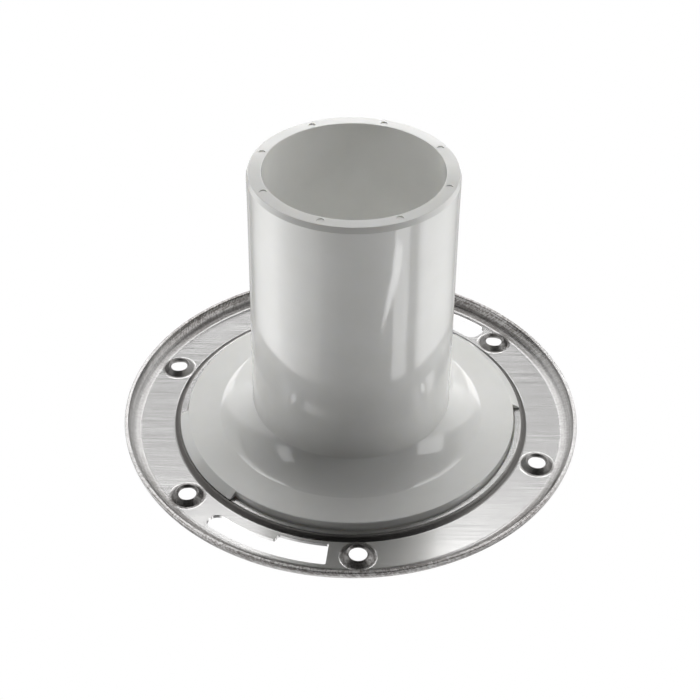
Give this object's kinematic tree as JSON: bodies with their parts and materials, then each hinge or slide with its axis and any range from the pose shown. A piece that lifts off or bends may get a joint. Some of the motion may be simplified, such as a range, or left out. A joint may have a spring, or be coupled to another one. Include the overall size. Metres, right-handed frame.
{
  "type": "closet flange",
  "caption": "Plastic toilet-floor drain flange: tapered pipe spigot flaring into a disc, with a swivelling pressed-steel bolt ring that has arc slots and countersunk screw holes.",
  "frame": {"origin": "centre of the hub's flat sealing face, which the part stands on", "axes": "+Z along the bore axis, from the sealing face towards the spigot's tip; +X is 2.5 degrees clockwise of the first snap tab's start"},
  "size_m": [0.1778, 0.1778, 0.1157],
  "materials": {
    "hub_pvc": "glossy injection-moulded PVC, slightly warm white",
    "ring_steel": "mill-finish stainless sheet, turned lip with drawing marks"
  },
  "bodies": {
    "hub": {"hub": "hub_pvc"},
    "swivel_ring": {"swivel_ring": "ring_steel"}
  },
  "joints": [
    {"name": "ring_swivel", "type": "hinge", "parent": "hub", "child": "swivel_ring", "pos_m": [0, 0, 0.0034], "axis": [0, 0, 1], "continuous": true}
  ]
}
